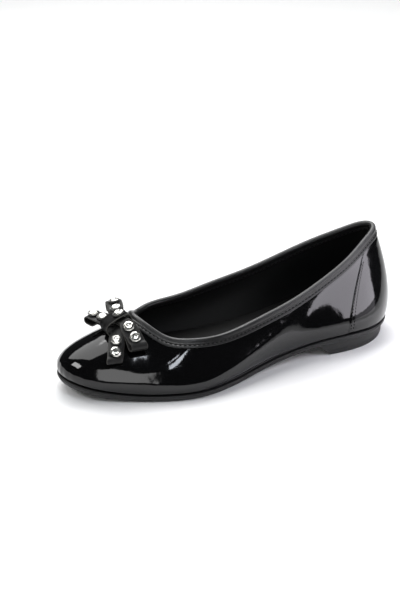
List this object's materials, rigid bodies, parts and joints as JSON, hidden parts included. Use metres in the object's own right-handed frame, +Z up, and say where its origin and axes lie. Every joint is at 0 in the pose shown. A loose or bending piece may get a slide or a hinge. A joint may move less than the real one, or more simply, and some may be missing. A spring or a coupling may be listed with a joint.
{
  "type": "ballet flat",
  "caption": "Left ballet flat with a glossy upper, bound topline, thin sole with a low heel and a looped ribbon bow set with crystals.",
  "frame": {"origin": "middle of the bounding box in plan, on the floor the shoe stands on", "axes": "+Z up, the toe points to -Y, +X towards the outer side of the left foot"},
  "size_m": [0.0894, 0.2474, 0.0754],
  "materials": {
    "sole": "matte moulded rubber",
    "sock": "matte lining leather",
    "patent": "mirror-gloss patent leather",
    "binding": "satin leather",
    "bow": "matte leather ribbon",
    "crystal": "clear cut glass"
  },
  "bodies": {
    "root": {"outsole": "sole", "heel_block": "sole", "insole": "sock", "upper": "patent", "binding": "binding", "bow_strip_lower": "bow", "bow_strip_upper": "bow", "bow_knot": "bow", "crystal_1": "crystal", "crystal_2": "crystal", "crystal_3": "crystal", "crystal_4": "crystal", "crystal_5": "crystal", "crystal_6": "crystal", "crystal_7": "crystal", "crystal_8": "crystal", "crystal_9": "crystal"}
  },
  "joints": []
}
